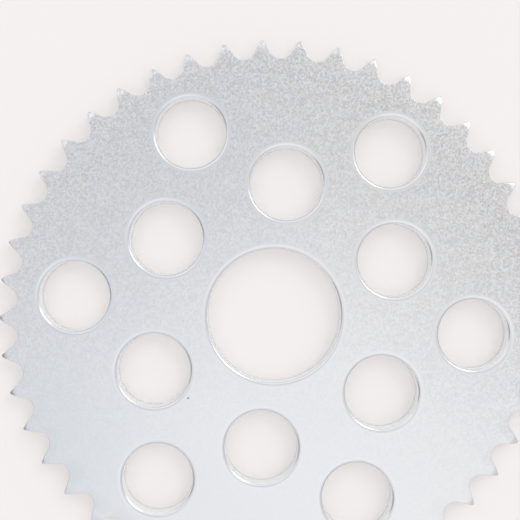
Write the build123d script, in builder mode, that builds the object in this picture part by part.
from build123d import *
from math import cos, degrees, pi, radians, sin
import os

os.makedirs("parts", exist_ok=True)

# Chain that the sprocket drives, in millimetres
chain_pitch = 12.7
roller_diameter = 7.75
tooth_count = 45

# Plate, a little thinner than the gap between the chain's inner plates
plate_thickness = 4.5

# Tooth tips, this far outside the pitch circle
tip_rise = 2.67

# Side relief, rolled off both faces of the teeth so that the chain finds its way on
relief_width = 3.5
relief_depth = 0.87

# Centre bore that pilots on the hub
bore_diameter = 45.5

# Inner ring of holes, its first hole in line with the first tooth
inner_hole_diameter = 25.0
inner_ring_diameter = 90.0
inner_hole_count = 6

# Outer ring of holes, between those of the inner ring, and the rim of steel left outside them
outer_hole_diameter = 24.0
outer_hole_count = 6
outer_ring_turn = 30.0
rim_width = 7.0

# Die roll that the punch leaves round each hole on the front face
roll_width = 1.9
roll_depth = 0.75

# How far a cutter runs past the face that it leaves by
overrun = 1.0

# Tooth form for roller chain, with the widest tooth space that the standard allows
pitch_radius = chain_pitch / (2 * sin(pi / tooth_count))
root_radius = pitch_radius - roller_diameter / 2
tip_radius = pitch_radius + tip_rise
seat_radius = 0.505 * roller_diameter + 0.069 * roller_diameter ** (1 / 3)
seat_half_angle = (120 - 90 / tooth_count) / 2
flank_radius = 0.008 * roller_diameter * (tooth_count**2 + 180)

# The flank arc is drawn on past the tip, so that the tooth space is open there
flank_height = tip_radius + overrun - root_radius
flank_sweep = degrees(flank_height / (flank_radius * cos(radians(90 - seat_half_angle))))

outer_ring_radius = root_radius - rim_width - outer_hole_diameter / 2


def punch(diameter):
    """Solid that a round hole takes away, flared at the front face by the die roll."""
    radius = diameter / 2
    flare_radius = radius + roll_width
    front = plate_thickness + overrun
    with BuildPart() as tool:
        with BuildSketch(Plane.XZ):
            with BuildLine():
                roll_start = (flare_radius, plate_thickness)
                roll_end = (radius, plate_thickness - roll_depth)
                TangentArc(roll_start, roll_end, tangent=(-1, 0))
                Polyline(
                    roll_end,
                    (radius, -overrun),
                    (0, -overrun),
                    (0, front),
                    (flare_radius, front),
                    roll_start,
                )
            make_face()
        revolve(axis=Axis.Z)
    return tool.part


bore_punch = punch(bore_diameter)
inner_punch = punch(inner_hole_diameter)
outer_punch = punch(outer_hole_diameter)

# One tooth space, opening outwards along the X axis
with BuildSketch() as tooth_space:
    with BuildLine():
        seat_centre = (root_radius + seat_radius, 0)
        seat = CenterArc(seat_centre, seat_radius, 180 - seat_half_angle, 2 * seat_half_angle)
        flank = JernArc(seat @ 0, -(seat % 0), flank_radius, flank_sweep)
        mirror(flank, about=Plane.XZ)
        Line(flank @ 1, ((flank @ 1).X, -(flank @ 1).Y))
    make_face()

with BuildPart() as sprocket:
    # Round blank with the side relief turned on both sides of its rim
    with BuildSketch(Plane.XZ):
        with BuildLine():
            relief_start = tip_radius - relief_width
            front_edge = (tip_radius, plate_thickness - relief_depth)
            back_edge = (tip_radius, relief_depth)
            TangentArc((relief_start, plate_thickness), front_edge, tangent=(1, 0))
            Line(front_edge, back_edge)
            TangentArc((relief_start, 0), back_edge, tangent=(1, 0))
            Polyline(
                (relief_start, 0),
                (0, 0),
                (0, plate_thickness),
                (relief_start, plate_thickness),
            )
        make_face()
    revolve(axis=Axis.Z)

    # Tooth spaces through the rim, half a pitch away from the first tooth
    with BuildSketch():
        with PolarLocations(0, tooth_count, start_angle=180 / tooth_count):
            add(tooth_space.sketch)
    extrude(amount=plate_thickness, mode=Mode.SUBTRACT)

    # Bore and both rings of holes
    add(bore_punch, mode=Mode.SUBTRACT)
    with PolarLocations(inner_ring_diameter / 2, inner_hole_count):
        add(inner_punch, mode=Mode.SUBTRACT)
    with PolarLocations(outer_ring_radius, outer_hole_count, start_angle=outer_ring_turn):
        add(outer_punch, mode=Mode.SUBTRACT)

sprocket.part.label = "sprocket"
export_step(sprocket.part, "parts/sprocket.step")
